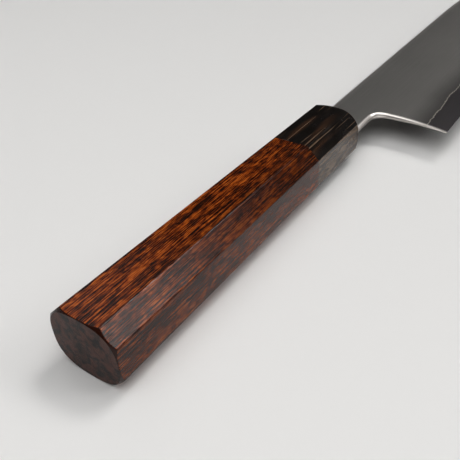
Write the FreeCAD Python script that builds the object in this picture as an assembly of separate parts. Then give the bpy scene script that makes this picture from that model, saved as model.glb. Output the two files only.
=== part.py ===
import FreeCAD, Part
import math
import os

from FreeCAD import Vector

# A chef knife with a three-layer blade and an octagonal handle, lying on its side.
# +X runs along the handle's axis towards the tip, +Y towards the spine, +Z upwards.
# All lengths are in millimetres. While it is built, the butt is at x = 0 and the
# handle's axis is y = z = 0; every piece is moved to the final origin when it is saved.

# ---- handle ---------------------------------------------------------------------
handle_length = 142.1
body_length = 107.7
butt_width = 25.0
butt_thickness = 21.8
mouth_width = 23.2
mouth_thickness = 20.2
butt_corner = 5.0
mouth_corner = 4.8
arris_radius = 0.35

# Both ends are eased by hand: a cone whose rim is a superellipse takes the corners off.
butt_rim_inset = 0.2
butt_rim_power = 2.7
butt_ease_slope = 1.0
mouth_rim_inset = 0.3
mouth_rim_power = 2.4
mouth_ease_slope = 1.5
ease_height = 4.0

# ---- joint of body, ferrule and tang ------------------------------------------------
bore_radius = 7.0
body_bore_depth = 76.0
drill_point_depth = 4.0
ferrule_bore_depth = 28.0
dowel_end_gap = 1.5
dowel_end_chamfer = 0.8
dowel_slot_back = 40.0
slot_width = 3.6
mouth_slot_height = 14.0
seal_recess = 0.25

# ---- blade ------------------------------------------------------------------------
heel_x = 159.5
edge_length = 240.0
heel_y = -41.3
edge_rise_power = 4.2
tip_y = -8.0
tip_height = 0.6
spine_y_at_heel = 8.4
spine_slope = 0.0085
spine_drop_start = 0.62
spine_drop_power = 2.1
spine_half_thickness = 1.6
tip_half_thickness = 0.12
distal_power = 1.6
spine_chamfer = 0.25
bevel_height = 0.7
bevel_half_thickness = 0.12
grind_power = 1.8
grind_shares = (0.4, 0.66)

# ---- layers -----------------------------------------------------------------------
core_half_at_spine = 0.55
core_half_at_tip = 0.09
core_exposed_share = 0.178
lamination_waves = ((4.0, 0.012), (11.3, 0.004))

# ---- neck, choil and tang -----------------------------------------------------------
neck_y = -9.9
neck_radius = 5.2
choil_x = 162.2
choil_mid_x = 161.6
choil_mid_y = -29.0
tang_end_x = 46.0
tang_half_at_mouth = 6.4
tang_half_at_end = 4.2

tip_x = heel_x + edge_length
stock_back_x = tang_end_x - 2.0
profile_half_depth = 5.0
station_count = 61
clear = 60.0

# The origin is below the middle of the whole knife, on the surface that it lies on.
origin = Vector(tip_x / 2, (butt_width / 2 + heel_y) / 2, -butt_thickness / 2)


def box(low, high):
    size = Vector(high) - Vector(low)
    return Part.makeBox(size.x, size.y, size.z, Vector(low))


def polygon_face(points):
    return Part.Face(Part.makePolygon(points + [points[0]]))


# ---- handle blank ---------------------------------------------------------------------
def octagon_at(x):
    share = x / handle_length
    half_y = (butt_width + (mouth_width - butt_width) * share) / 2
    half_z = (butt_thickness + (mouth_thickness - butt_thickness) * share) / 2
    corner = butt_corner + (mouth_corner - butt_corner) * share
    flat_y = half_y - corner
    flat_z = half_z - corner
    ring = [(flat_y, half_z), (-flat_y, half_z), (-half_y, flat_z), (-half_y, -flat_z)]
    ring += [(-y, -z) for y, z in ring]
    return [Vector(x, y, z) for y, z in ring]


def superellipse_at(x, half_y, half_z, power, count=32):
    points = []
    for step in range(count):
        angle = 2 * math.pi * step / count
        c = math.cos(angle)
        s = math.sin(angle)
        y = half_y * math.copysign(abs(c) ** (2 / power), c)
        z = half_z * math.copysign(abs(s) ** (2 / power), s)
        points.append(Vector(x, y, z))
    curve = Part.BSplineCurve()
    curve.interpolate(Points=points, PeriodicFlag=True)
    return Part.Wire([curve.toShape()])


def ease_end(blank, face_x, inward, half_y, half_z, power, slope):
    """Cut the corners of one end back to a cone; slope is its length over its height."""
    inner_x = face_x + inward * ease_height * slope
    rim = superellipse_at(face_x, half_y, half_z, power)
    root = superellipse_at(inner_x, half_y + ease_height, half_z + ease_height, power)
    cone = Part.makeLoft([rim, root], True, True)
    low_x = min(face_x, inner_x)
    slab = box((low_x, -clear, -clear), (low_x + ease_height * slope, clear, clear))
    return blank.cut(slab.cut(cone))


def handle_blank():
    butt = octagon_at(0)
    mouth = octagon_at(handle_length)
    flats = []
    for this, following in zip(range(8), list(range(1, 8)) + [0]):
        flats.append(polygon_face([butt[this], mouth[this], mouth[following], butt[following]]))
    blank = Part.makeSolid(Part.makeShell([polygon_face(butt), polygon_face(mouth)] + flats))
    long_edges = [e for e in blank.Edges if e.Length > handle_length * 0.9]
    blank = blank.makeFillet(arris_radius, long_edges)
    blank = ease_end(
        blank, 0, 1, butt_width / 2 - butt_rim_inset, butt_thickness / 2 - butt_rim_inset,
        butt_rim_power, butt_ease_slope)
    return ease_end(
        blank, handle_length, -1, mouth_width / 2 - mouth_rim_inset,
        mouth_thickness / 2 - mouth_rim_inset, mouth_rim_power, mouth_ease_slope)


def bore(start_x, end_x):
    return Part.makeCylinder(bore_radius, end_x - start_x, Vector(start_x, 0, 0), Vector(1, 0, 0))


bore_back_x = body_length - body_bore_depth
bore_front_x = body_length + ferrule_bore_depth
dowel_back_x = bore_back_x + dowel_end_gap


def make_handle_body(blank):
    body = blank.common(box((-1, -clear, -clear), (body_length, clear, clear)))
    point = Part.makeCone(
        0.5, bore_radius, drill_point_depth, Vector(bore_back_x - drill_point_depth, 0, 0),
        Vector(1, 0, 0))
    return body.cut(point).cut(bore(bore_back_x, body_length + 1))


def mouth_slot(front_x):
    return box(
        (bore_front_x, -mouth_slot_height / 2, -slot_width / 2),
        (front_x, mouth_slot_height / 2, slot_width / 2))


def make_ferrule(blank):
    ferrule = blank.common(box((body_length, -clear, -clear), (handle_length + 1, clear, clear)))
    ferrule = ferrule.cut(bore(body_length - 1, bore_front_x))
    return ferrule.cut(mouth_slot(handle_length + 1))


def dowel_slot():
    slot = box(
        (dowel_slot_back, -bore_radius - 1, -slot_width / 2),
        (bore_front_x, bore_radius + 1, slot_width / 2))
    return slot.common(bore(dowel_back_x, bore_front_x))


def make_dowel():
    dowel = bore(dowel_back_x, bore_front_x)
    ends = [e for e in dowel.Edges if isinstance(e.Curve, Part.Circle)]
    dowel = dowel.makeChamfer(dowel_end_chamfer, ends)
    return dowel.cut(dowel_slot())


# ---- blade: every rail is a line along the blade, given by its y and z at each x -------
def length_share(x):
    return max(0.0, (x - heel_x) / edge_length)


def edge_y(x):
    return heel_y + (tip_y - heel_y) * length_share(x) ** edge_rise_power


def spine_y(x):
    level = spine_y_at_heel + spine_slope * (x - heel_x)
    bend = max(0.0, (length_share(x) - spine_drop_start) / (1 - spine_drop_start))
    drop = spine_y_at_heel + spine_slope * edge_length - tip_y - tip_height
    return level - drop * bend ** spine_drop_power


def spine_half(x):
    fade = 1 - length_share(x) ** distal_power
    return tip_half_thickness + (spine_half_thickness - tip_half_thickness) * fade


def taper(x):
    """How far the section at x has shrunk, from 1 at the heel to nearly 0 at the tip."""
    return (spine_y(x) - edge_y(x)) / (spine_y_at_heel - heel_y)


def face_half(x, share):
    """Half the thickness at a share of the way from the bevel's top to the spine.

    The face is ground convex, so it thins slowly below the spine and fast above the edge.
    """
    swell = 1 - (1 - share) ** grind_power
    return bevel_half_thickness + (spine_half(x) - bevel_half_thickness) * swell


def bevel_y(x):
    return edge_y(x) + bevel_height * min(1.0, taper(x) * 3)


def lamination_share(x):
    turn = 2 * math.pi * (x - heel_x) / edge_length
    wave = sum(amount * math.sin(turn * count + count) for count, amount in lamination_waves)
    return core_exposed_share + wave


def face_point(x, share):
    return bevel_y(x) + (spine_y(x) - bevel_y(x)) * share, face_half(x, share)


def lamination_rail(x):
    return face_point(x, lamination_share(x))


def grind_rail(share):
    return lambda x: face_point(x, share)


def chamfer_size(x):
    return spine_chamfer * min(1.0, spine_half(x) / spine_half_thickness, taper(x) * 3)


def core_spine_rail(x):
    fade = (spine_half(x) - tip_half_thickness) / (spine_half_thickness - tip_half_thickness)
    return spine_y(x), core_half_at_tip + (core_half_at_spine - core_half_at_tip) * fade


def face_top_rail(x):
    y = spine_y(x) - chamfer_size(x)
    share = (y - bevel_y(x)) / (spine_y(x) - bevel_y(x))
    return y, face_half(x, share)


def spine_rail(x):
    return spine_y(x), spine_half(x) - chamfer_size(x)


def bevel_rail(x):
    return bevel_y(x), bevel_half_thickness


def edge_rail(x):
    return edge_y(x), 0.0


def mirrored(rail):
    return lambda x: (rail(x)[0], -rail(x)[1])


def solid_from_rails(rails):
    """Close ruled strips between neighbouring rails, capped flat at both ends."""
    span = tip_x - stock_back_x
    stations = [stock_back_x + span * i / (station_count - 1) for i in range(station_count)]
    curves = []
    for rail in rails:
        curve = Part.BSplineCurve()
        curve.interpolate(Points=[Vector(x, *rail(x)) for x in stations], Parameters=stations)
        curves.append(curve.toShape())
    faces = [Part.makeRuledSurface(a, b) for a, b in zip(curves, curves[1:] + curves[:1])]
    for x in (stations[0], stations[-1]):
        faces.append(polygon_face([Vector(x, *rail(x)) for rail in rails]))
    shell = Part.makeShell(faces)
    shell.sewShape()
    solid = Part.makeSolid(shell)
    if solid.Volume < 0:
        solid.reverse()
    return solid


def blade_profile():
    """The outline, seen from above, that neck, choil and tang are cut to."""
    choil_top = Vector(choil_x, neck_y - neck_radius, 0)
    neck_turn = Vector(choil_x - neck_radius, neck_y, 0)
    turn_mid = Vector(
        choil_x - neck_radius * (1 - math.sqrt(0.5)),
        neck_y - neck_radius * (1 - math.sqrt(0.5)), 0)
    heel = Vector(heel_x, heel_y, 0)
    choil = Part.Arc(heel, Vector(choil_mid_x, choil_mid_y, 0), choil_top)
    turn = Part.Arc(choil_top, turn_mid, neck_turn)
    end_low = Vector(tang_end_x + tang_half_at_end, -tang_half_at_end, 0)
    end_high = Vector(tang_end_x + tang_half_at_end, tang_half_at_end, 0)
    tang_end = Part.Arc(end_low, Vector(tang_end_x, 0, 0), end_high)
    outside = [
        end_high,
        Vector(handle_length, tang_half_at_mouth, 0),
        Vector(handle_length, clear, 0),
        Vector(tip_x + clear, clear, 0),
        Vector(tip_x + clear, -clear, 0),
        Vector(heel_x, -clear, 0),
        heel]
    shoulder = [
        neck_turn,
        Vector(handle_length, neck_y, 0),
        Vector(handle_length, -tang_half_at_mouth, 0),
        end_low]
    edges = [Part.makeLine(a, b) for a, b in zip(outside, outside[1:])]
    edges += [choil.toShape(), turn.toShape()]
    edges += [Part.makeLine(a, b) for a, b in zip(shoulder, shoulder[1:])]
    edges.append(tang_end.toShape())
    profile = Part.Face(Part.Wire(edges))
    profile.translate(Vector(0, 0, -profile_half_depth))
    return profile.extrude(Vector(0, 0, 2 * profile_half_depth))


def make_blade_layers():
    core_side = [core_spine_rail, lamination_rail, bevel_rail]
    other_side = [mirrored(rail) for rail in reversed(core_side)]
    clad_side = [lamination_rail, core_spine_rail, spine_rail, face_top_rail]
    clad_side += [grind_rail(share) for share in reversed(grind_shares)]
    blanks = {
        "blade_core": core_side + [edge_rail] + other_side,
        "cladding_right": clad_side,
        "cladding_left": [mirrored(rail) for rail in clad_side]}
    profile = blade_profile()
    return {node: solid_from_rails(rails).common(profile) for node, rails in blanks.items()}


# ---- assembly ---------------------------------------------------------------------------
handle = handle_blank()
layers = make_blade_layers()
pieces = {
    "handle_body": make_handle_body(handle),
    "ferrule": make_ferrule(handle),
    "dowel": make_dowel()}
pieces.update(layers)

bedding = dowel_slot()
seal = mouth_slot(handle_length - seal_recess)
for layer in layers.values():
    bedding = bedding.cut(layer)
    seal = seal.cut(layer)
pieces["tang_bedding"] = bedding
pieces["mouth_seal"] = seal

os.makedirs("parts", exist_ok=True)
for node, shape in pieces.items():
    solid = shape.Solids[0]
    solid.translate(origin * -1)
    solid.exportStep("parts/" + node + ".step")
    print(node, "solids:", len(shape.Solids), "valid:", solid.isValid(), "mm3:", round(solid.Volume))
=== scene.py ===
import math

import bmesh
import bpy
from mathutils import Matrix, Vector


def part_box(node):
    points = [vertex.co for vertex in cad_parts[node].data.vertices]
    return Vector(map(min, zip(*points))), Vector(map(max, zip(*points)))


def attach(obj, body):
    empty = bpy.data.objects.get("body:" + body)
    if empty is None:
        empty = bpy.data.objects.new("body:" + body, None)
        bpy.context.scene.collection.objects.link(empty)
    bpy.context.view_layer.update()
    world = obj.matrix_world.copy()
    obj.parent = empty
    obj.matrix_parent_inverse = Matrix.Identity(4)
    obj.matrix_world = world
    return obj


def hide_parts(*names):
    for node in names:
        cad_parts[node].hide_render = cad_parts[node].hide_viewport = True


# A chef knife lying on its side: three-layer steel blade, horn ferrule, octagonal wooden handle.
# Outlines are worked out in millimetres from the middle of the butt, with x towards the tip,
# y towards the spine and z up; place() puts them into the frame, in metres.

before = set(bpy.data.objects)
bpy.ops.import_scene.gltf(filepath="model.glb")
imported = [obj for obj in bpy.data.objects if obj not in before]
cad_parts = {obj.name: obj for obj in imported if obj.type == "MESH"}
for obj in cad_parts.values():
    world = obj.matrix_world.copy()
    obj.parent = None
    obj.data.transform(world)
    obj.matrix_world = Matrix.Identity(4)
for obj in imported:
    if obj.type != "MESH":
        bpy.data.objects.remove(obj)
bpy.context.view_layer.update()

MM = 0.001
body_low, body_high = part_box("handle_body")
ferrule_low, ferrule_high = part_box("ferrule")
core_low, core_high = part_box("blade_core")
dowel_low, dowel_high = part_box("dowel")

BUTT = Vector((body_low.x, (body_low.y + body_high.y) / 2, (body_low.z + body_high.z) / 2))


def place(x, y, z):
    return BUTT + Vector((x, y, z)) * MM


# ---- sizes of the handle, in millimetres ------------------------------------------------
BODY_LENGTH = (body_high.x - body_low.x) / MM
HANDLE_LENGTH = (ferrule_high.x - body_low.x) / MM
BUTT_WIDTH = (body_high.y - body_low.y) / MM
BUTT_THICKNESS = (body_high.z - body_low.z) / MM
JOINT_WIDTH = (ferrule_high.y - ferrule_low.y) / MM
JOINT_THICKNESS = (ferrule_high.z - ferrule_low.z) / MM
BUTT_CORNER = 5.0
MOUTH_CORNER = 4.8
COLUMNS_PER_FLAT = 10

# Each end is eased by a cone that meets the end face in a superellipse. The inset is how far
# that lies inside the flats, the power is its exponent, the slope is the cone's length for each
# millimetre that it widens, and the reach is how far from the face its creases can lie.
BUTT_RIM = {"inset": 0.2, "power": 2.7, "slope": 1.0, "reach": 3.2}
MOUTH_RIM = {"inset": 0.3, "power": 2.4, "slope": 1.5, "reach": 5.5}
EASE_LIMIT = 6.0
EASE_HALVINGS = 24
ARRIS_WIDTH = 0.32
ARRIS_SEGMENTS = 4
BUTT_CREASE_WIDTH = 0.16
BUTT_CREASE_SEGMENTS = 3
MOUTH_CREASE_WIDTH = 0.32
MOUTH_CREASE_SEGMENTS = 4
CREASE_ANGLE = math.radians(12)
CREASE_RUN_SHARE = 0.9

BORE_RADIUS = (dowel_high.y - dowel_low.y) / 2 / MM
BORE_SPARE = 1.5
BORE_BACK = (dowel_low.x - body_low.x) / MM - BORE_SPARE
BORE_FRONT = (dowel_high.x - body_low.x) / MM
DRILL_POINT = 4.0
DRILL_TIP_RADIUS = 0.5
SLOT_HEIGHT = 14.0
SLOT_WIDTH = 3.6
SLOT_POWER = 12.0
SLOT_SURROUND_Y = 7.5
SLOT_SURROUND_Z = 5.0

# ---- sizes of the blade, in millimetres ---------------------------------------------------
TIP_X = (core_high.x - body_low.x) / MM
EDGE_LENGTH = 240.0
HEEL_X = TIP_X - EDGE_LENGTH
HEEL_Y = (core_low.y - BUTT.y) / MM
EDGE_RISE_POWER = 4.2
TIP_Y = -8.0
TIP_HEIGHT = 0.6
SPINE_Y_AT_HEEL = 8.4
SPINE_SLOPE = 0.0085
SPINE_DROP_START = 0.62
SPINE_DROP_POWER = 2.1
SPINE_HALF = 1.6
TIP_HALF = 0.12
DISTAL_POWER = 1.6
BEVEL_HEIGHT = 0.7
BEVEL_HALF = 0.12
BEVEL_TAPER_RATE = 3
GRIND_POWER = 1.8
CORE_HALF_AT_SPINE = 0.55
CORE_HALF_AT_TIP = 0.09
CORE_SHARE = 0.178
# The lamination line's waves: how many there are along the edge, and their height as a share.
LAMINATION_WAVES = ((4.0, 0.012), (11.3, 0.004))
NECK_Y = -9.9
NECK_RADIUS = 5.2
CHOIL_X = 162.2
CHOIL_MID_X = 161.6
CHOIL_MID_Y = -29.0
TANG_END_X = (core_low.x - body_low.x) / MM
TANG_HALF_AT_MOUTH = 6.4
TANG_HALF_AT_END = 4.2
TANG_END_FLOOR = 0.02
TANG_FRONT_GAP = 0.15
SPINE_ROUND = 0.3
CHOIL_ROUND = 1.1
ROUND_LIMIT = 0.9

# The polish, which also carries a painted highlight, is full beside the choil and gone a little
# past its round.
# Its depth counts in shares of that round, and it is narrower along the spine.
POLISH_START = 1.6
POLISH_FALL = 1.3
SPINE_POLISH_NARROWING = 1.6

# ---- how close corners merge: metres in a finished piece, millimetres in a blade sheet ----
PIECE_MERGE = 2e-7
SHEET_MERGE = 2e-4
SHEET_DEGENERATE = 1e-4
SHARP_ANGLE = math.radians(38)


# ==== mesh helpers ==========================================================================
def finish_piece(bm, name, stands_for):
    """Turn a bmesh into a piece that rides on the knife and stands for CAD nodes."""
    bmesh.ops.remove_doubles(bm, verts=bm.verts, dist=PIECE_MERGE)
    bmesh.ops.recalc_face_normals(bm, faces=bm.faces)
    for face in bm.faces:
        face.smooth = True
    mesh = bpy.data.meshes.new(name)
    bm.to_mesh(mesh)
    bm.free()
    mesh.set_sharp_from_angle(angle=SHARP_ANGLE)
    piece = bpy.data.objects.new(name, mesh)
    bpy.context.scene.collection.objects.link(piece)
    shading = piece.modifiers.new("face shading", "WEIGHTED_NORMAL")
    shading.mode = "FACE_AREA"
    shading.keep_sharp = True
    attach(piece, "root")
    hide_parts(*stands_for)
    return piece


def tube(rings):
    """A tube through rings of points; returns its bmesh and the corners of each ring."""
    bm = bmesh.new()
    count = len(rings[0])
    made = bmesh.ops.create_grid(bm, x_segments=count, y_segments=len(rings) - 1, size=1.0)
    corners = made["verts"]
    rows = [corners[r * (count + 1):(r + 1) * (count + 1)] for r in range(len(rings))]
    for row, ring in zip(rows, rings):
        for corner, point in zip(row, ring + ring[:1]):
            corner.co = point
    bmesh.ops.weld_verts(bm, targetmap={row[-1]: row[0] for row in rows})
    return bm, [row[:-1] for row in rows]


def soften(bm, edges, width, segments):
    """Round edges over; the width is in millimetres."""
    bmesh.ops.bevel(
        bm, geom=edges, offset=width * MM, offset_type="OFFSET", segments=segments,
        profile=0.5, affect="EDGES", material=-1, clamp_overlap=True)


# ==== handle =================================================================================
def flat_corners(x):
    """The eight corners of the octagon at x, as (y, z)."""
    share = x / BODY_LENGTH
    half_y = (BUTT_WIDTH + (JOINT_WIDTH - BUTT_WIDTH) * share) / 2
    half_z = (BUTT_THICKNESS + (JOINT_THICKNESS - BUTT_THICKNESS) * share) / 2
    corner = BUTT_CORNER + (MOUTH_CORNER - BUTT_CORNER) * x / HANDLE_LENGTH
    flat_y = half_y - corner
    flat_z = half_z - corner
    ring = [(flat_y, half_z), (-flat_y, half_z), (-half_y, flat_z), (-half_y, -flat_z)]
    return ring + [(-y, -z) for y, z in ring]


def section(x):
    """Points round the octagon at x, evenly spaced along each flat."""
    corners = flat_corners(x)
    points = []
    for (y0, z0), (y1, z1) in zip(corners, corners[1:] + corners[:1]):
        for step in range(COLUMNS_PER_FLAT):
            share = step / COLUMNS_PER_FLAT
            points.append((y0 + (y1 - y0) * share, z0 + (z1 - z0) * share))
    return points


def superellipse(y, z, half_y, half_z, power):
    """Above 1 where (y, z) is outside the superellipse."""
    return (abs(y / half_y) ** power + abs(z / half_z) ** power) ** (1 / power)


def rim_sizes(face_x, rim, depth):
    """Half the width and thickness of an end's cone at a depth behind the end face."""
    corners = flat_corners(face_x)
    grow = depth / rim["slope"] - rim["inset"]
    return max(y for y, z in corners) + grow, max(z for y, z in corners) + grow


def rim_ring(face_x, rim):
    """The end face's outline: the octagon's directions, cut back to the superellipse."""
    half_y, half_z = rim_sizes(face_x, rim, 0)
    ring = []
    for y, z in section(face_x):
        size = superellipse(y, z, half_y, half_z, rim["power"])
        ring.append(place(face_x, y / size, z / size))
    return ring


def ease_ring(face_x, inward, rim):
    """Where the cone at an end meets the flats, found by halving for each column."""
    ring = []
    for column in range(len(section(face_x))):
        low, high = 0.0, EASE_LIMIT
        for halving in range(EASE_HALVINGS):
            depth = (low + high) / 2
            y, z = section(face_x + inward * depth)[column]
            half_y, half_z = rim_sizes(face_x, rim, depth)
            if superellipse(y, z, half_y, half_z, rim["power"]) > 1:
                low = depth
            else:
                high = depth
        y, z = section(face_x + inward * low)[column]
        ring.append(place(face_x + inward * low, y, z))
    return ring


def flat_ring(x):
    """The octagon at x."""
    return [place(x, y, z) for y, z in section(x)]


def round_ring(x, radius):
    """The round bore at x, with a point for each of the octagon's."""
    ring = []
    for y, z in section(BODY_LENGTH):
        reach = math.hypot(y, z)
        ring.append(place(x, y / reach * radius, z / reach * radius))
    return ring


def slot_ring(x):
    """The outline of the tang's slot: a superellipse so square that it is a rounded oblong."""
    ring = []
    for y, z in section(HANDLE_LENGTH):
        size = superellipse(y, z, SLOT_HEIGHT / 2, SLOT_WIDTH / 2, SLOT_POWER)
        ring.append(place(x, y / size, z / size))
    return ring


def arris_edges(bm, first, last):
    """The long edges between the flats, from one ring to the next."""
    return [
        bm.edges.get((first[column], last[column]))
        for column in range(0, len(first), COLUMNS_PER_FLAT)]


def is_rim_edge(edge, face_x, rim):
    """True for a crease near an end face that does not run along the handle."""
    if len(edge.link_faces) != 2 or edge.calc_face_angle(0) < CREASE_ANGLE:
        return False
    xs = [(corner.co.x - BUTT.x) / MM for corner in edge.verts]
    run = abs(edge.verts[0].co.x - edge.verts[1].co.x)
    across = (edge.verts[0].co - edge.verts[1].co).length
    near = all(abs(x - face_x) < rim["reach"] for x in xs)
    return near and run < across * CREASE_RUN_SHARE


def make_handle_body():
    rings = [
        rim_ring(0, BUTT_RIM),
        ease_ring(0, 1, BUTT_RIM),
        flat_ring(BODY_LENGTH),
        round_ring(BODY_LENGTH, BORE_RADIUS),
        round_ring(BORE_BACK, BORE_RADIUS),
        round_ring(BORE_BACK - DRILL_POINT, DRILL_TIP_RADIUS)]
    bm, rows = tube(rings)
    bmesh.ops.contextual_create(bm, geom=rows[0])
    bmesh.ops.contextual_create(bm, geom=rows[-1])
    soften(bm, arris_edges(bm, rows[1], rows[2]), ARRIS_WIDTH, ARRIS_SEGMENTS)
    crease = [edge for edge in bm.edges if is_rim_edge(edge, 0, BUTT_RIM)]
    soften(bm, crease, BUTT_CREASE_WIDTH, BUTT_CREASE_SEGMENTS)
    return finish_piece(bm, "wooden_handle", ["handle_body"])


def is_slot_edge(edge):
    """True for an edge close round the tang's slot."""
    half_y = max(abs(corner.co.y - BUTT.y) for corner in edge.verts) / MM
    half_z = max(abs(corner.co.z - BUTT.z) for corner in edge.verts) / MM
    return half_y <= SLOT_SURROUND_Y and half_z <= SLOT_SURROUND_Z


def make_ferrule():
    rings = [
        round_ring(BORE_FRONT, BORE_RADIUS),
        round_ring(BODY_LENGTH, BORE_RADIUS),
        flat_ring(BODY_LENGTH),
        ease_ring(HANDLE_LENGTH, -1, MOUTH_RIM),
        rim_ring(HANDLE_LENGTH, MOUTH_RIM),
        slot_ring(HANDLE_LENGTH),
        slot_ring(BORE_FRONT),
        round_ring(BORE_FRONT, BORE_RADIUS)]
    bm, rows = tube(rings)
    bmesh.ops.weld_verts(bm, targetmap=dict(zip(rows[-1], rows[0])))
    soften(bm, arris_edges(bm, rows[2], rows[3]), ARRIS_WIDTH, ARRIS_SEGMENTS)
    crease = [
        edge for edge in bm.edges
        if is_rim_edge(edge, HANDLE_LENGTH, MOUTH_RIM) and not is_slot_edge(edge)]
    soften(bm, crease, MOUTH_CREASE_WIDTH, MOUTH_CREASE_SEGMENTS)
    return finish_piece(bm, "horn_ferrule", ["ferrule"])


# ==== blade ==================================================================================
def length_share(x):
    """0 at the heel and behind it, 1 at the tip."""
    return max(0.0, (x - HEEL_X) / EDGE_LENGTH)


def edge_y(x):
    return HEEL_Y + (TIP_Y - HEEL_Y) * length_share(x) ** EDGE_RISE_POWER


def spine_y(x):
    level = SPINE_Y_AT_HEEL + SPINE_SLOPE * (x - HEEL_X)
    bend = max(0.0, (length_share(x) - SPINE_DROP_START) / (1 - SPINE_DROP_START))
    drop = SPINE_Y_AT_HEEL + SPINE_SLOPE * EDGE_LENGTH - TIP_Y - TIP_HEIGHT
    return level - drop * bend ** SPINE_DROP_POWER


def taper(x):
    """The blade's height at x as a share of its height at the heel."""
    return (spine_y(x) - edge_y(x)) / (SPINE_Y_AT_HEEL - HEEL_Y)


def bevel_y(x):
    return edge_y(x) + BEVEL_HEIGHT * min(1.0, taper(x) * BEVEL_TAPER_RATE)


def distal_fade(x):
    """1 at the heel, falling to 0 at the tip, as the blade thins."""
    return 1 - length_share(x) ** DISTAL_POWER


def face_share(x, y):
    """0 at the top of the cutting bevel, 1 at the spine."""
    return (y - bevel_y(x)) / (spine_y(x) - bevel_y(x))


def lamination_share(x):
    """How high the lamination line lies between the bevel and the spine."""
    turn = 2 * math.pi * (x - HEEL_X) / EDGE_LENGTH
    wave = sum(amount * math.sin(turn * count + count) for count, amount in LAMINATION_WAVES)
    return CORE_SHARE + wave


def lamination_y(x):
    return bevel_y(x) + (spine_y(x) - bevel_y(x)) * lamination_share(x)


def choil_at(y):
    """x of the choil at y: a quarter round under the neck, then a shallow bow to the heel."""
    top_y = NECK_Y - NECK_RADIUS
    if y > top_y:
        rise = min(y - top_y, NECK_RADIUS)
        return CHOIL_X - NECK_RADIUS + math.sqrt(NECK_RADIUS ** 2 - rise ** 2)
    heel = (y - CHOIL_MID_Y) * (y - top_y) / ((HEEL_Y - CHOIL_MID_Y) * (HEEL_Y - top_y))
    middle = (y - HEEL_Y) * (y - top_y) / ((CHOIL_MID_Y - HEEL_Y) * (CHOIL_MID_Y - top_y))
    top = (y - HEEL_Y) * (y - CHOIL_MID_Y) / ((top_y - HEEL_Y) * (top_y - CHOIL_MID_Y))
    return HEEL_X * heel + CHOIL_MID_X * middle + CHOIL_X * top


def neck_bottom(x):
    centre_x = CHOIL_X - NECK_RADIUS
    if x <= centre_x:
        return NECK_Y
    return NECK_Y - NECK_RADIUS + math.sqrt(max(0.0, NECK_RADIUS ** 2 - (x - centre_x) ** 2))


TURN_X = CHOIL_X - NECK_RADIUS * (1 - math.sqrt(0.5))
TURN_Y = NECK_Y - NECK_RADIUS * (1 - math.sqrt(0.5))
TURN_SHARE = (TURN_Y - HEEL_Y) / (SPINE_Y_AT_HEEL - HEEL_Y)


def boundary_distance(x, y):
    """How far a point of the blade is from the neck's underside or the choil."""
    centre_x = CHOIL_X - NECK_RADIUS
    centre_y = NECK_Y - NECK_RADIUS
    if x <= centre_x:
        return y - NECK_Y
    if y >= centre_y:
        return math.hypot(x - centre_x, y - centre_y) - NECK_RADIUS
    return x - choil_at(y)


def rounded(half, depth, radius):
    """Half thickness at a depth inside an edge that is rounded over with a radius."""
    radius = min(radius, half * ROUND_LIMIT)
    if depth >= radius:
        return half
    gap = radius - max(depth, 0.0)
    return half - radius + math.sqrt(max(0.0, radius ** 2 - gap ** 2))


def plain_half(x, y):
    """Half the blade's thickness before its edges are rounded."""
    share = face_share(x, y)
    if share < 0:
        return BEVEL_HALF * max(0.0, (y - edge_y(x)) / (bevel_y(x) - edge_y(x)))
    spine_half = TIP_HALF + (SPINE_HALF - TIP_HALF) * distal_fade(x)
    swell = 1 - max(0.0, 1 - share) ** GRIND_POWER
    return BEVEL_HALF + (spine_half - BEVEL_HALF) * swell


def outer_half(x, y):
    half = plain_half(x, y)
    if x < HANDLE_LENGTH:
        return half
    at_spine = rounded(half, spine_y(x) - y, SPINE_ROUND)
    return min(at_spine, rounded(half, boundary_distance(x, y), CHOIL_ROUND))


def core_half(x, y):
    """Half the core's thickness: the whole blade's up to the lamination line, less above."""
    lamination = lamination_share(x)
    share = (face_share(x, y) - lamination) / (1 - lamination)
    if share < 0:
        return outer_half(x, y)
    at_lamination = plain_half(x, lamination_y(x))
    at_spine = CORE_HALF_AT_TIP + (CORE_HALF_AT_SPINE - CORE_HALF_AT_TIP) * distal_fade(x)
    return min(at_lamination + (at_spine - at_lamination) * share, outer_half(x, y))


def steps(last, spacing, opening=()):
    """Shares from 0 to 1 of a length: small opening steps in millimetres, then even ones."""
    start = opening[-1] if opening else 0.0
    count = max(1, round((last - start) / spacing))
    even = [start + (last - start) * n / count for n in range(1, count + 1)]
    return [0.0] + [value / last for value in list(opening) + even]


# The grid over the blade, in millimetres: how far apart its columns are, the usual height of
# each band of rows, how far apart those are, and the small steps beside each edge.
BLADE_COLUMNS = 3.0
NECK_COLUMNS = 0.7
TANG_COLUMNS = 8.0
BARE_BAND = 8.0
BARE_ROWS = 2.0
CLAD_BAND = 20.0
NECK_HALF_BAND = 10.0
CLAD_ROWS = 2.5
ROUND_STEPS = (0.02, 0.08, 0.18, 0.33, 0.53, 0.8, 1.1, 1.6)
SPINE_STEPS = (0.02, 0.07, 0.16, 0.3, 0.8)
TANG_STEPS = (0.4, 1.2, 2.6, 4.2)
TURN_STEPS = (0.6, 1.2, 1.8, 2.5, 3.2, 4.0)


def closing_steps(last, spacing, opening):
    """The same steps the other way round, smallest at the end."""
    return [1 - share for share in reversed(steps(last, spacing, opening))]


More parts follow.
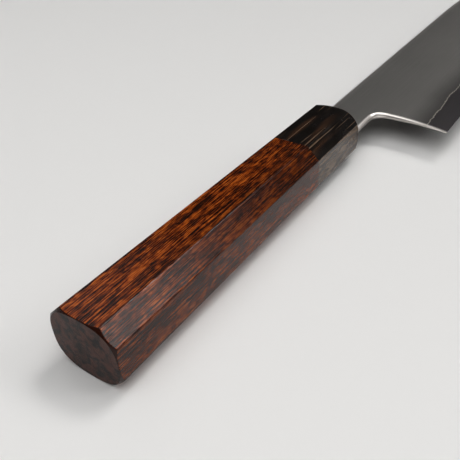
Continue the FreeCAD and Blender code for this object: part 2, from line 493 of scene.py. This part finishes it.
along_blade = steps(EDGE_LENGTH, BLADE_COLUMNS, ROUND_STEPS)
along_neck = steps(TURN_X - HANDLE_LENGTH, NECK_COLUMNS)
along_tang = steps(HANDLE_LENGTH - TANG_END_X, TANG_COLUMNS, TANG_STEPS)
above_bevel = steps(BARE_BAND, BARE_ROWS)
below_turn = closing_steps(CLAD_BAND, CLAD_ROWS, TURN_STEPS)
above_turn = steps(NECK_HALF_BAND, CLAD_ROWS, ROUND_STEPS)
below_spine = closing_steps(NECK_HALF_BAND, CLAD_ROWS, SPINE_STEPS)
upper_shares = [share / 2 for share in above_turn]
upper_shares += [(1 + share) / 2 for share in below_spine[1:]]

grid_rows = [("edge", 0.0)] + [("face", share) for share in above_bevel]
grid_rows += [("clad", share) for share in below_turn[1:]]
TURN_ROW = len(grid_rows) - 1
LAMINATION_ROW = len(above_bevel)
grid_rows += [("upper", share) for share in upper_shares[1:]]
TURN_COLUMN = len(along_tang) + len(along_neck) - 1


def turn_y(x):
    """The row that starts at the middle of the quarter round and runs to the tip."""
    return edge_y(x) + (spine_y(x) - edge_y(x)) * TURN_SHARE


def row_y(row, x):
    """y of a row of the blade's grid at x."""
    kind, share = grid_rows[row]
    if kind == "edge":
        return edge_y(x)
    if kind == "face":
        return bevel_y(x) + (lamination_y(x) - bevel_y(x)) * share
    if kind == "clad":
        return lamination_y(x) + (turn_y(x) - lamination_y(x)) * share
    return turn_y(x) + (spine_y(x) - turn_y(x)) * share


def tang_half(x):
    """Half the tang's height at x; its back end is rounded."""
    share = (x - TANG_END_X) / (HANDLE_LENGTH - TANG_END_X)
    half = TANG_HALF_AT_END + (TANG_HALF_AT_MOUTH - TANG_HALF_AT_END) * share
    end = min(1.0, (x - TANG_END_X) / TANG_HALF_AT_END)
    return half * math.sqrt(max(TANG_END_FLOOR, 1 - (1 - end) ** 2))


def blade_point(column, row):
    """x and y of one corner of the blade's grid of columns and rows."""
    tang_columns = len(along_tang)
    upper = grid_rows[row][1] if row > TURN_ROW else 0.0
    if column < tang_columns:
        x = TANG_END_X + (HANDLE_LENGTH - TANG_FRONT_GAP - TANG_END_X) * along_tang[column]
        return x, tang_half(x) * (2 * upper - 1)
    if column < TURN_COLUMN:
        x = HANDLE_LENGTH + (TURN_X - HANDLE_LENGTH) * along_neck[column - tang_columns]
        bottom = neck_bottom(x)
        return x, bottom + (spine_y(x) - bottom) * upper
    start = TURN_X
    if row < TURN_ROW:
        start = choil_at(row_y(row, HEEL_X))
    x = start + (TIP_X - start) * along_blade[column - TURN_COLUMN]
    return x, row_y(row, x)


def blade_sheet(first_row):
    """A flat grid over the blade's outline, from first_row up to the spine."""
    bm = bmesh.new()
    bm.verts.layers.float.new("above_lamination")
    bm.verts.layers.float.new("polish_and_highlight")
    columns = TURN_COLUMN + len(along_blade) - 1
    row_count = len(grid_rows) - 1 - first_row
    made = bmesh.ops.create_grid(bm, x_segments=columns, y_segments=row_count, size=1.0)
    corners = made["verts"]
    outside = []
    for index, corner in enumerate(corners):
        step, column = divmod(index, columns + 1)
        row = step + first_row
        if column < TURN_COLUMN and row < TURN_ROW:
            outside.append(corner)
        x, y = blade_point(column, row)
        corner.co = (x, y, 0)
    bmesh.ops.delete(bm, geom=outside, context="VERTS")
    return bm


def polish_and_highlight_share(x, y):
    """1 along the neck's underside and the choil, and along the spine, and 0 on the faces; it
    marks the polish and its painted highlight.
    """
    from_spine = (spine_y(x) - y) * SPINE_POLISH_NARROWING
    depth = min(boundary_distance(x, y), from_spine) / CHOIL_ROUND
    return min(1.0, max(0.0, POLISH_START - depth * POLISH_FALL))


def make_layer(name, stands_for, first_row, upper_half, lower_half, material):
    """Thicken a sheet of the blade between two heights that vary over it."""
    bm = blade_sheet(first_row)
    above = bm.verts.layers.float["above_lamination"]
    polish_with_highlight = bm.verts.layers.float["polish_and_highlight"]
    base = list(bm.verts)
    grown = bmesh.ops.extrude_face_region(bm, geom=list(bm.faces), use_keep_orig=True)
    raised = [item for item in grown["geom"] if isinstance(item, bmesh.types.BMVert)]
    for corners, half in ((base, lower_half), (raised, upper_half)):
        for corner in corners:
            x, y, _ = corner.co
            corner[above] = y - lamination_y(x)
            corner[polish_with_highlight] = polish_and_highlight_share(x, y)
            corner.co.z = half(x, y)
    bmesh.ops.remove_doubles(bm, verts=bm.verts, dist=SHEET_MERGE)
    bmesh.ops.dissolve_degenerate(bm, edges=bm.edges, dist=SHEET_DEGENERATE)
    for corner in bm.verts:
        corner.co = place(*corner.co)
    piece = finish_piece(bm, name, stands_for)
    piece.data.materials.append(material)
    return piece


# ==== shader helpers =========================================================================
def add(tree, kind, sockets=None, **settings):
    """Add a node. Each socket gets a plain value or another node's output."""
    new = tree.nodes.new(kind)
    for key, value in settings.items():
        setattr(new, key, value)
    for key, value in (sockets or {}).items():
        if isinstance(value, bpy.types.NodeSocket):
            tree.links.new(value, new.inputs[key])
        else:
            new.inputs[key].default_value = value
    return new


def math_node(tree, operation, *values):
    sockets = dict(enumerate(values))
    return add(tree, "ShaderNodeMath", sockets, operation=operation).outputs[0]


def scaled(tree, mask, share):
    return math_node(tree, "MULTIPLY", mask, share)


def mix_colour(tree, factor, first, second):
    sockets = {0: factor, 6: first, 7: second}
    return add(tree, "ShaderNodeMix", sockets, data_type="RGBA").outputs[2]


def remap(tree, value, from_low, from_high, to_low=0.0, to_high=1.0):
    sockets = {
        "Value": value, "From Min": from_low, "From Max": from_high,
        "To Min": to_low, "To Max": to_high}
    return add(tree, "ShaderNodeMapRange", sockets, interpolation_type="SMOOTHSTEP").outputs[0]


def rgb(red, green, blue):
    """A linear colour from the usual 0 to 255 display values."""
    def linear(value):
        share = value / 255
        return share / 12.92 if share <= 0.04045 else ((share + 0.055) / 1.055) ** 2.4
    return linear(red), linear(green), linear(blue), 1.0


def new_group(name, inputs, outputs):
    """A shader node group; inputs are (name, socket type, default or None)."""
    group = bpy.data.node_groups.new(name, "ShaderNodeTree")
    for label, kind, value in inputs:
        socket = group.interface.new_socket(label, in_out="INPUT", socket_type=kind)
        if value is not None:
            socket.default_value = value
    for label, kind in outputs:
        group.interface.new_socket(label, in_out="OUTPUT", socket_type=kind)
    return group, add(group, "NodeGroupInput"), add(group, "NodeGroupOutput")


def place_group(tree, group, sockets):
    return add(tree, "ShaderNodeGroup", sockets, node_tree=group).outputs


FLOAT = "NodeSocketFloat"
VECTOR = "NodeSocketVector"
MM_PER_METRE = 1 / MM

# The lamination line, in millimetres: its fine wobbles as (length, amount), how far either side
# of it the core turns into cladding, between which distances from it the bright line fades, and
# between which heights above it the smoky shade fades.
LINE_WOBBLES = ((5.0, 1.3), (1.6, 0.9))
LINE_SOFTNESS = 0.06
LINE_FADE = (0.05, 0.3)
SMOKE_FADE = (-1.0, 11.0)

# How the normal's y parts the flat on the edge's side from its neighbours.
EDGE_SIDE_FACING = (-0.8, -0.95)


def make_streaks_group():
    """Noise drawn out along the knife: grain, pores, horn bands and grinding lines."""
    group, given, result = new_group(
        "long streaks",
        [("Vector", VECTOR, None), ("Length mm", FLOAT, 4.0), ("Width mm", FLOAT, 0.5),
         ("Detail", FLOAT, 3.0), ("Waviness", FLOAT, 0.0),
         ("From", FLOAT, 0.4), ("To", FLOAT, 0.6)],
        [("Streaks", FLOAT)])
    along = math_node(group, "DIVIDE", MM_PER_METRE, given.outputs["Length mm"])
    across = math_node(group, "DIVIDE", MM_PER_METRE, given.outputs["Width mm"])
    scale = add(group, "ShaderNodeCombineXYZ", {0: along, 1: across, 2: across}).outputs[0]
    stretched = add(
        group, "ShaderNodeVectorMath", {0: given.outputs["Vector"], 1: scale},
        operation="MULTIPLY").outputs[0]
    noise = add(
        group, "ShaderNodeTexNoise",
        {"Vector": stretched, "Scale": 1.0, "Detail": given.outputs["Detail"],
         "Distortion": given.outputs["Waviness"]}).outputs[0]
    streaks = remap(group, noise, given.outputs["From"], given.outputs["To"])
    group.links.new(streaks, result.inputs["Streaks"])
    return group


def make_handling_group():
    """Uneven gloss from handling: soft cloudy smudges with finer breaks in them."""
    group, given, result = new_group(
        "handling marks",
        [("Vector", VECTOR, None), ("Size mm", FLOAT, 12.0),
         ("Low", FLOAT, 0.3), ("High", FLOAT, 0.4)],
        [("Roughness", FLOAT)])
    scale = math_node(group, "DIVIDE", MM_PER_METRE, given.outputs["Size mm"])
    smudge = add(
        group, "ShaderNodeTexNoise",
        {"Vector": given.outputs["Vector"], "Scale": scale, "Detail": 4.0, "Roughness": 0.6})
    spread = remap(
        group, smudge.outputs[0], 0.3, 0.7, given.outputs["Low"], given.outputs["High"])
    group.links.new(spread, result.inputs["Roughness"])
    return group


def make_lamination_group():
    """Masks about the line where the core comes out from under the cladding."""
    group, given, result = new_group(
        "lamination",
        [("Vector", VECTOR, None), ("Above mm", FLOAT, 0.0)],
        [("Cladding", FLOAT), ("Line", FLOAT), ("Smoke", FLOAT)])
    shift = 0.0
    for length, amount in LINE_WOBBLES:
        wobble = add(
            group, "ShaderNodeTexNoise",
            {"Vector": given.outputs["Vector"], "Scale": MM_PER_METRE / length,
             "Detail": 2.0}).outputs[0]
        centred = math_node(group, "SUBTRACT", wobble, 0.5)
        shift = math_node(group, "MULTIPLY_ADD", centred, amount, shift)
    height = math_node(group, "ADD", given.outputs["Above mm"], shift)
    cladding = remap(group, height, -LINE_SOFTNESS, LINE_SOFTNESS)
    off_line = math_node(group, "ABSOLUTE", height)
    line = remap(group, off_line, *LINE_FADE, 1.0, 0.0)
    smoke = remap(group, height, *SMOKE_FADE, 1.0, 0.0)
    group.links.new(cladding, result.inputs["Cladding"])
    group.links.new(line, result.inputs["Line"])
    group.links.new(smoke, result.inputs["Smoke"])
    return group


def make_facets_group():
    """Masks for the faces cut across the knife and for the flat on the edge's side."""
    group, given, result = new_group(
        "facets", [("Vector", VECTOR, None)], [("End", FLOAT), ("Edge side", FLOAT)])
    parts = add(group, "ShaderNodeSeparateXYZ", {0: given.outputs["Vector"]}).outputs
    end = math_node(group, "ABSOLUTE", parts["X"])
    side = remap(group, parts["Y"], *EDGE_SIDE_FACING)
    group.links.new(end, result.inputs["End"])
    group.links.new(side, result.inputs["Edge side"])
    return group


streaks_group = make_streaks_group()
handling_group = make_handling_group()
lamination_group = make_lamination_group()
facets_group = make_facets_group()


def new_material(name):
    """A material with its node tree, shader and Object coordinates."""
    material = bpy.data.materials.new(name)
    material.use_nodes = True
    tree = material.node_tree
    shader = tree.nodes["Principled BSDF"]
    coords = add(tree, "ShaderNodeTexCoord").outputs["Object"]
    return material, tree, shader, coords


def streaks(tree, coords, length, width, low, high, detail=3.0, waviness=0.0):
    return place_group(tree, streaks_group, {
        "Vector": coords, "Length mm": length, "Width mm": width, "Detail": detail,
        "Waviness": waviness, "From": low, "To": high})["Streaks"]


def handling(tree, coords, size, low, high):
    return place_group(tree, handling_group, {
        "Vector": coords, "Size mm": size, "Low": low, "High": high})["Roughness"]


def join(tree, shader, **outputs):
    """Link outputs to the shader's sockets; a space in a socket's name is written as _."""
    for label, output in outputs.items():
        tree.links.new(output, shader.inputs[label.replace("_", " ")])


def bump(tree, height, depth):
    """A normal from a height; depth is in millimetres."""
    return add(tree, "ShaderNodeBump", {"Height": height, "Distance": depth * MM}).outputs[0]


# ==== materials ==============================================================================
# A pair of colours is a dark and a pale tone of one material.
WOOD_TONES = (
    (0.2, rgb(20, 7, 3)), (0.4, rgb(54, 20, 4)), (0.55, rgb(92, 36, 6)),
    (0.68, rgb(126, 52, 9)), (0.85, rgb(168, 84, 26)))
# Painted shade for the wood, laid on the band and the flat towards the edge's side.
PAINTED_WOOD_SHADE = rgb(34, 16, 9)
WOOD_EASED = rgb(40, 15, 7)
WOOD_END_GRAIN = (rgb(12, 4, 3), rgb(74, 42, 33))
HORN_DARK = (rgb(11, 7, 5), rgb(56, 36, 23))
HORN_STREAK = rgb(104, 84, 68)
# The horn's edge side: its pale marbling, lightened further as a painted reflection of the floor.
HORN_MARBLE_AND_REFLECTION = (rgb(46, 34, 26), rgb(110, 90, 73))
# A painted highlight on the ferrule's eased rim.
HORN_RIM_HIGHLIGHT = rgb(122, 70, 36)
SATIN_STEEL = (rgb(126, 124, 121), rgb(136, 134, 131))
SMOKY_STEEL = rgb(68, 66, 65)
BARE_CORE = (rgb(66, 63, 65), rgb(73, 70, 71))
BRIGHT_LINE = rgb(180, 176, 164)
# Near-white polish on the choil and spine: real polish brightened past steel as a painted
# highlight.
POLISHED_STEEL_HIGHLIGHT = rgb(246, 240, 234)
DOWEL_TONES = (rgb(150, 112, 70), rgb(196, 160, 112))
RESIN_TONES = (rgb(88, 70, 42), rgb(112, 92, 60))
WAX_TONES = (rgb(28, 22, 18), rgb(44, 34, 27))

# How far a surface turns to face along the knife: the flat ends, and the cones that ease them.
END_FACING = (0.9, 0.98)
BUTT_EASE_FACING = (0.3, 0.6)
MOUTH_EASE_FACING = (0.15, 0.55)

# Painted shade in a band over the wood: how much it leans towards the tip, and where it fades in,
# in mm.
BAND_TILT = 0.05
BAND_FADE = (12.0, 20.0)
BAND_WOBBLE = 3.0

# How much of the wood's tone comes from its dashes, its cloud and its lines.
WOOD_FIGURE_SHARES = (0.3, 0.26, 0.44)

# How strongly each mix covers what is under it: the band and the wood's edge side are painted
# shade, the horn's edge side is pale marbling with a painted reflection, its rim a painted
# highlight, and the smoke is the steel's own tone.
PAINTED_BAND_STRENGTH = 0.72
WOOD_SIDE_SHADE_STRENGTH = 0.38
HORN_SIDE_STRENGTH = 0.85
RIM_HIGHLIGHT_STRENGTH = 0.8
SMOKE_STRENGTH = 0.8

# What end grain and polish add to the roughness, and how reflective the finishes are.
END_GRAIN_ROUGHNESS = 0.3
POLISH_ROUGHNESS = -0.12
OILED_SPECULAR = 0.23
HORN_SPECULAR = 0.35


def ramp(tree, value, stops):
    """A colour ramp; stops are (position, colour)."""
    node = add(tree, "ShaderNodeValToRGB", {0: value})
    elements = node.color_ramp.elements
    while len(elements) < len(stops):
        elements.new(0.5)
    for element, (position, colour) in zip(elements, stops):
        element.position = position
        element.color = colour
    return node.outputs["Color"]


def painted_shade_band(tree, coords):
    """Painted shade: rises from 0 to 1 up and towards the edge's side, and slowly towards the tip.
    """
    centred = add(
        tree, "ShaderNodeVectorMath", {0: coords, 1: BUTT}, operation="SUBTRACT").outputs[0]
    direction = Vector((BAND_TILT, -math.sqrt(0.5), math.sqrt(0.5))) / MM
    depth = add(
        tree, "ShaderNodeVectorMath", {0: centred, 1: direction},
        operation="DOT_PRODUCT").outputs["Value"]
    wobble = streaks(tree, coords, length=30.0, width=5.0, low=0.3, high=0.7)
    depth = math_node(tree, "MULTIPLY_ADD", wobble, BAND_WOBBLE, depth)
    return remap(tree, depth, *BAND_FADE)


def facets(tree):
    normal = add(tree, "ShaderNodeTexCoord").outputs["Normal"]
    return place_group(tree, facets_group, {"Vector": normal})


def make_wood():
    """Dense red-brown hardwood: dark pore dashes, cloudy dark figure and orange streaks; painted
    shade darkens it towards the edge's side.
    """
    material, tree, shader, coords = new_material("oiled hardwood")
    dashes = streaks(tree, coords, length=3.0, width=0.36, low=0.34, high=0.66)
    cloud = streaks(
        tree, coords, length=4.5, width=2.4, low=0.36, high=0.64, detail=4.0, waviness=0.5)
    lines = streaks(tree, coords, length=27.0, width=0.36, low=0.35, high=0.65, detail=2.0)
    tone = 0.0
    for figure, share in zip((dashes, cloud, lines), WOOD_FIGURE_SHARES):
        tone = math_node(tree, "MULTIPLY_ADD", figure, share, tone)
    masks = facets(tree)
    # Painted shade: a band that darkens the wood up and towards the edge's side.
    painted_band = scaled(tree, painted_shade_band(tree, coords), PAINTED_BAND_STRENGTH)
    side = scaled(tree, masks["Edge side"], WOOD_SIDE_SHADE_STRENGTH)
    eased = remap(tree, masks["End"], *BUTT_EASE_FACING)
    end = remap(tree, masks["End"], *END_FACING)
    base = mix_colour(tree, painted_band, ramp(tree, tone, WOOD_TONES), PAINTED_WOOD_SHADE)
    # Painted shade on the flat facing the edge's side.
    base = mix_colour(tree, side, base, PAINTED_WOOD_SHADE)
    base = mix_colour(tree, eased, base, WOOD_EASED)
    base = mix_colour(tree, end, base, mix_colour(tree, cloud, *WOOD_END_GRAIN))
    gloss = handling(tree, coords, size=9.0, low=0.14, high=0.22)
    join(tree, shader, Base_Color=base,
         Roughness=math_node(tree, "MULTIPLY_ADD", end, END_GRAIN_ROUGHNESS, gloss),
         Normal=bump(tree, dashes, depth=0.02))
    shader.inputs["Specular IOR Level"].default_value = OILED_SPECULAR
    return material


def make_horn():
    """Polished black horn: brown and beige streaks, a pale marbled side with a painted reflection
    of the floor, and a brown rim that is a painted highlight.
    """
    material, tree, shader, coords = new_material("polished horn")
    brown = streaks(
        tree, coords, length=40.0, width=3.6, low=0.5, high=0.72, detail=2.0, waviness=0.3)
    pale = streaks(
        tree, coords, length=40.0, width=0.8, low=0.62, high=0.78, detail=2.0, waviness=0.1)
    marble = streaks(
        tree, coords, length=9.0, width=1.6, low=0.4, high=0.64, detail=4.0, waviness=0.8)
    masks = facets(tree)
    # The edge-side flat gets pale marble, partly the horn's own and partly a painted reflection of
    # the floor.
    side = scaled(tree, masks["Edge side"], HORN_SIDE_STRENGTH)
    # The eased rim gets a painted highlight.
    eased = remap(tree, masks["End"], *MOUTH_EASE_FACING)
    off_end = remap(tree, masks["End"], *END_FACING, 1.0, 0.0)
    rim = scaled(tree, math_node(tree, "MULTIPLY", eased, off_end), RIM_HIGHLIGHT_STRENGTH)
    base = mix_colour(tree, brown, *HORN_DARK)
    base = mix_colour(tree, pale, base, HORN_STREAK)
    base = mix_colour(tree, side, base, mix_colour(tree, marble, *HORN_MARBLE_AND_REFLECTION))
    base = mix_colour(tree, rim, base, HORN_RIM_HIGHLIGHT)
    join(tree, shader, Base_Color=base,
         Roughness=handling(tree, coords, size=8.0, low=0.18, high=0.28),
         Normal=bump(tree, pale, depth=0.01))
    shader.inputs["Specular IOR Level"].default_value = HORN_SPECULAR
    return material


def make_steel(name):
    """Satin steel; the lamination masks part the paler cladding from the dark bare core, and the
    polished choil and spine are near-white, partly polish and partly painted highlight.
    """
    material, tree, shader, coords = new_material(name)
    above = add(tree, "ShaderNodeAttribute", attribute_name="above_lamination").outputs["Fac"]
    polish_with_highlight = add(tree, "ShaderNodeAttribute", attribute_name="polish_and_highlight").outputs["Fac"]
    masks = place_group(tree, lamination_group, {"Vector": coords, "Above mm": above})
    brushed = streaks(tree, coords, length=30.0, width=0.12, low=0.3, high=0.7)
    soft = streaks(tree, coords, length=30.0, width=14.0, low=0.3, high=0.7)
    smoke = scaled(tree, masks["Smoke"], SMOKE_STRENGTH)
    cladding = mix_colour(tree, brushed, *SATIN_STEEL)
    cladding = mix_colour(tree, smoke, cladding, SMOKY_STEEL)
    core = mix_colour(tree, soft, *BARE_CORE)
    base = mix_colour(tree, masks["Cladding"], core, cladding)
    base = mix_colour(tree, masks["Line"], base, BRIGHT_LINE)
    # Near-white on the polished choil and spine: partly polish, partly painted highlight.
    base = mix_colour(tree, polish_with_highlight, base, POLISHED_STEEL_HIGHLIGHT)
    gloss = handling(tree, coords, size=20.0, low=0.44, high=0.47)
    join(tree, shader, Base_Color=base,
         Roughness=math_node(tree, "MULTIPLY_ADD", polish_with_highlight, POLISH_ROUGHNESS, gloss),
         Normal=bump(tree, brushed, depth=0.002))
    shader.inputs["Metallic"].default_value = 1.0
    return material


def make_plain(name, tones, length, width, low_gloss, high_gloss):
    """The hidden peg, adhesive and seal: a quiet grain in two tones."""
    material, tree, shader, coords = new_material(name)
    grain = streaks(tree, coords, length, width, low=0.35, high=0.65)
    join(tree, shader, Base_Color=mix_colour(tree, grain, *tones),
         Roughness=handling(tree, coords, size=5.0, low=low_gloss, high=high_gloss),
         Normal=bump(tree, grain, depth=0.02))
    return material


wood = make_wood()
horn = make_horn()
cladding_steel = make_steel("satin cladding steel")
core_steel = make_steel("hard core steel")
dowel_wood = make_plain(
    "dowel wood", DOWEL_TONES, length=6.0, width=0.5, low_gloss=0.5, high_gloss=0.65)
resin = make_plain(
    "bedding resin", RESIN_TONES, length=4.0, width=3.0, low_gloss=0.3, high_gloss=0.4)
wax = make_plain("seal wax", WAX_TONES, length=3.0, width=2.0, low_gloss=0.35, high_gloss=0.5)


# ==== the knife ================================================================================
def below_core(x, y):
    return -core_half(x, y)


def below_all(x, y):
    return -outer_half(x, y)


handle = make_handle_body()
handle.data.materials.append(wood)
ferrule = make_ferrule()
ferrule.data.materials.append(horn)
make_layer("core_layer", ["blade_core"], 0, core_half, below_core, core_steel)
make_layer("upper_cladding", ["cladding_right"], LAMINATION_ROW,
           outer_half, core_half, cladding_steel)
make_layer("lower_cladding", ["cladding_left"], LAMINATION_ROW,
           below_core, below_all, cladding_steel)

for node_name, material in (("dowel", dowel_wood), ("tang_bedding", resin), ("mouth_seal", wax)):
    bpy.data.objects[node_name].material_slots[0].material = material


# ==== floor, light and camera ====================================================================
# In metres and degrees, apart from the lens and its sensor, which are in millimetres.
FLOOR_HALF = 3.0
FLOOR_COLOUR = (0.78, 0.775, 0.765, 1.0)
FLOOR_ROUGHNESS = 0.6

VIEW_TARGET = place(62.8, -3.28, 0)
VIEW_HEADING = 37.52
VIEW_PITCH = 36.425
VIEW_ROLL = 4.46
VIEW_DISTANCE = 0.19904
VIEW_LENS = 47.51
SENSOR_WIDTH = 36
NEAREST_SEEN = 0.01

LIGHT_TARGET = place(80, 0, 0)
LIGHT_OFFSET = Vector((-0.3, -0.12, 1.1))
LIGHT_SIZE = 1.7
LIGHT_POWER = 11.2

ROOM_COLOUR = (1.0, 0.99, 0.98, 1.0)
ROOM_LEVEL = 0.03
HORIZON_LEVEL = 0.4
HORIZON_FADE = (0.02, 0.16)

# Bright patches of the room: which way they lie, the degrees from their middle within which
# they are full and at which they end, and their strength. They show in the flat between the top
# and the edge's side, in the top flat, along the arris between the two, and beside that arris.
GLOWS = (
    ((0.43, -0.7, 0.57), 2, 15, 5.4),
    ((0.347, 0.598, 0.723), 6, 15, 0.8),
    ((0.53, -0.05, 0.85), 3, 10, 12.0),
    ((0.56, -0.27, 0.78), 5, 14, 4.0))


def make_floor():
    bm = bmesh.new()
    bmesh.ops.create_grid(bm, x_segments=1, y_segments=1, size=FLOOR_HALF)
    mesh = bpy.data.meshes.new("floor")
    bm.to_mesh(mesh)
    bm.free()
    floor = bpy.data.objects.new("floor", mesh)
    bpy.context.scene.collection.objects.link(floor)
    material = bpy.data.materials.new("pale floor")
    material.use_nodes = True
    shader = material.node_tree.nodes["Principled BSDF"]
    shader.inputs["Base Color"].default_value = FLOOR_COLOUR
    shader.inputs["Roughness"].default_value = FLOOR_ROUGHNESS
    mesh.materials.append(material)


def make_light():
    """One large soft disc overhead, aimed at the handle."""
    light = bpy.data.lights.new("overhead", "AREA")
    light.shape = "DISK"
    light.size = LIGHT_SIZE
    light.energy = LIGHT_POWER
    lamp = bpy.data.objects.new("overhead", light)
    bpy.context.scene.collection.objects.link(lamp)
    lamp.location = LIGHT_TARGET + LIGHT_OFFSET
    lamp.rotation_euler = (LIGHT_TARGET - lamp.location).to_track_quat("-Z", "Y").to_euler()


def make_camera():
    """Looking along the handle from behind its butt, from above."""
    heading, pitch = math.radians(VIEW_HEADING), math.radians(VIEW_PITCH)
    forward = Vector((
        math.cos(pitch) * math.cos(heading), math.cos(pitch) * math.sin(heading),
        -math.sin(pitch)))
    level = forward.cross(Vector((0, 0, 1))).normalized()
    right = Matrix.Rotation(math.radians(VIEW_ROLL), 3, forward) @ level
    up = right.cross(forward)
    camera = bpy.data.cameras.new("camera")
    camera.lens = VIEW_LENS
    camera.sensor_width = SENSOR_WIDTH
    camera.clip_start = NEAREST_SEEN
    viewer = bpy.data.objects.new("camera", camera)
    bpy.context.scene.collection.objects.link(viewer)
    turned = Matrix((right, up, -forward)).transposed()
    where = VIEW_TARGET - forward * VIEW_DISTANCE
    viewer.matrix_world = Matrix.Translation(where) @ turned.to_4x4()
    bpy.context.scene.camera = viewer


def glow(tree, direction, towards, full_within, ends_at, strength):
    """A soft bright patch of the room, sized in degrees from its middle."""
    middle = Vector(towards).normalized()
    nearness = add(
        tree, "ShaderNodeVectorMath", {0: direction, 1: middle},
        operation="DOT_PRODUCT").outputs["Value"]
    edge, full = math.cos(math.radians(ends_at)), math.cos(math.radians(full_within))
    return remap(tree, nearness, edge, full, 0.0, strength)


def make_world():
    """A dim room, paler at the horizon, with bright patches that the facets and steel reflect."""
    world = bpy.data.worlds.new("studio")
    bpy.context.scene.world = world
    world.use_nodes = True
    tree = world.node_tree
    direction = add(tree, "ShaderNodeTexCoord").outputs["Generated"]
    height = add(tree, "ShaderNodeSeparateXYZ", {0: direction}).outputs["Z"]
    level = remap(tree, height, *HORIZON_FADE, HORIZON_LEVEL, ROOM_LEVEL)
    for patch in GLOWS:
        level = math_node(tree, "ADD", level, glow(tree, direction, *patch))
    background = tree.nodes["Background"]
    tree.links.new(level, background.inputs["Strength"])
    background.inputs["Color"].default_value = ROOM_COLOUR


make_floor()
make_world()
make_camera()
make_light()
bpy.context.scene.view_settings.view_transform = "Standard"
